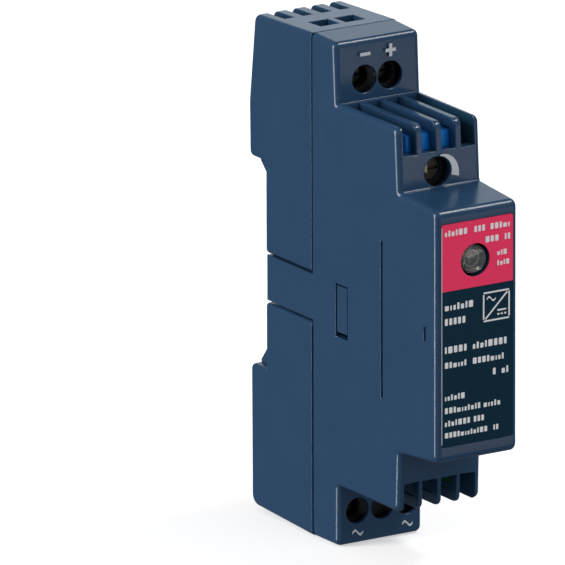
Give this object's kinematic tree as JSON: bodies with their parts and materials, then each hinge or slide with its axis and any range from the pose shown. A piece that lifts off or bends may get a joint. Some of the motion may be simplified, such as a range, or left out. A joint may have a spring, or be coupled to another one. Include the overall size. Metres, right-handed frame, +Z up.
{
  "type": "din rail power supply",
  "caption": "One-module power supply for a top-hat rail: stepped narrow case, lamp, trimmer, screw terminals above and below, vent slots, and a spring latch at the back.",
  "frame": {"origin": "middle of the rail seat: on the plane that the rail's flanges bear on, at mid width and on the rail's centre line", "axes": "+X along the rail, to the right seen from the front; -Y is the front and +Y points into the rail; +Z up, output terminals above"},
  "size_m": [0.0176, 0.0593, 0.0904],
  "materials": {
    "case": "semi-gloss slate-blue moulded polyamide",
    "label": "satin printed front label, raspberry above and navy below",
    "steel": "zinc-plated steel",
    "brass": "plain brass",
    "tin": "tinned metal",
    "terminal": "black moulded plastic",
    "board": "green solder mask on glass-epoxy board",
    "lens": "clear epoxy lamp body",
    "trimmer": "bright blue moulded plastic",
    "rotor": "off-white moulded plastic",
    "ferrite": "dark grey ferrite",
    "bobbin": "black moulded plastic",
    "tape": "yellow polyester tape",
    "sleeve_black": "black shrink sleeve",
    "sleeve_blue": "dark blue shrink sleeve",
    "film": "pale grey moulded case",
    "disc_blue": "blue lacquer",
    "copper": "enamelled copper wire",
    "epoxy": "black epoxy package"
  },
  "bodies": {
    "case": {"front_cover": "case", "rear_base": "case", "latch_spring": "steel", "front_label": "label", "indicator_lamp": "lens", "indicator_lead_anode": "tin", "indicator_lead_cathode": "tin", "trimmer_body": "trimmer", "output_terminal_housing": "terminal", "input_terminal_housing": "terminal", "output_contact_minus": "tin", "output_contact_plus": "tin", "input_contact_n": "tin", "input_contact_l": "tin", "main_board": "board", "output_carrier_board": "board", "input_carrier_board": "board", "output_header": "epoxy", "input_header": "epoxy", "transformer_core_upper": "ferrite", "transformer_core_lower": "ferrite", "transformer_bobbin": "bobbin", "transformer_winding": "tape", "bulk_capacitor": "sleeve_black", "output_capacitor_a": "sleeve_blue", "output_capacitor_b": "sleeve_blue", "surge_absorber": "disc_blue", "safety_capacitor": "disc_blue", "line_capacitor": "film", "line_choke_core": "ferrite", "line_choke_winding": "copper", "output_choke_core": "ferrite", "output_choke_winding": "copper", "bridge_rectifier": "epoxy", "controller": "epoxy", "optocoupler": "epoxy", "line_fuse": "film", "output_diode": "epoxy"},
    "latch": {"rail_latch": "case"},
    "trimmer": {"trimmer_rotor": "rotor"},
    "output_screw_minus": {"output_screw_minus": "steel"},
    "output_cage_minus": {"output_cage_minus": "brass"},
    "output_screw_plus": {"output_screw_plus": "steel"},
    "output_cage_plus": {"output_cage_plus": "brass"},
    "input_screw_n": {"input_screw_n": "steel"},
    "input_cage_n": {"input_cage_n": "brass"},
    "input_screw_l": {"input_screw_l": "steel"},
    "input_cage_l": {"input_cage_l": "brass"}
  },
  "joints": [
    {"name": "latch_slide", "type": "slide", "parent": "case", "child": "latch", "axis": [0, 0, -1], "range_m": [0, 0.0034], "stiffness_N_per_m": 800, "springref_m": -0.0008, "deforming": ["latch_spring"]},
    {"name": "trimmer_turn", "type": "hinge", "parent": "case", "child": "trimmer", "pos_m": [-0.0005, -0.0396, 0.02555], "axis": [0, 1, 0], "range_deg": [-135, 135]},
    {"name": "output_screw_minus_turn", "type": "hinge", "parent": "case", "child": "output_screw_minus", "pos_m": [-0.00285, -0.0192, 0.0379], "axis": [0, 1, 0], "range_deg": [0, 1450]},
    {"name": "output_cage_minus_rise", "type": "slide", "parent": "case", "child": "output_cage_minus", "axis": [0, -1, 0], "range_m": [0, 0.002]},
    {"name": "output_screw_plus_turn", "type": "hinge", "parent": "case", "child": "output_screw_plus", "pos_m": [0.00235, -0.0192, 0.0379], "axis": [0, 1, 0], "range_deg": [0, 1450]},
    {"name": "output_cage_plus_rise", "type": "slide", "parent": "case", "child": "output_cage_plus", "axis": [0, -1, 0], "range_m": [0, 0.002]},
    {"name": "input_screw_n_turn", "type": "hinge", "parent": "case", "child": "input_screw_n", "pos_m": [-0.0047, -0.0192, -0.0392], "axis": [0, 1, 0], "range_deg": [0, 1450]},
    {"name": "input_cage_n_rise", "type": "slide", "parent": "case", "child": "input_cage_n", "axis": [0, -1, 0], "range_m": [0, 0.002]},
    {"name": "input_screw_l_turn", "type": "hinge", "parent": "case", "child": "input_screw_l", "pos_m": [0.00555, -0.0192, -0.0392], "axis": [0, 1, 0], "range_deg": [0, 1450]},
    {"name": "input_cage_l_rise", "type": "slide", "parent": "case", "child": "input_cage_l", "axis": [0, -1, 0], "range_m": [0, 0.002]}
  ],
  "couplings": [
    {"joint": "output_screw_minus_turn", "follows": "output_cage_minus_rise", "rad_per_m": 12566},
    {"joint": "output_screw_plus_turn", "follows": "output_cage_plus_rise", "rad_per_m": 12566},
    {"joint": "input_screw_n_turn", "follows": "input_cage_n_rise", "rad_per_m": 12566},
    {"joint": "input_screw_l_turn", "follows": "input_cage_l_rise", "rad_per_m": 12566}
  ]
}
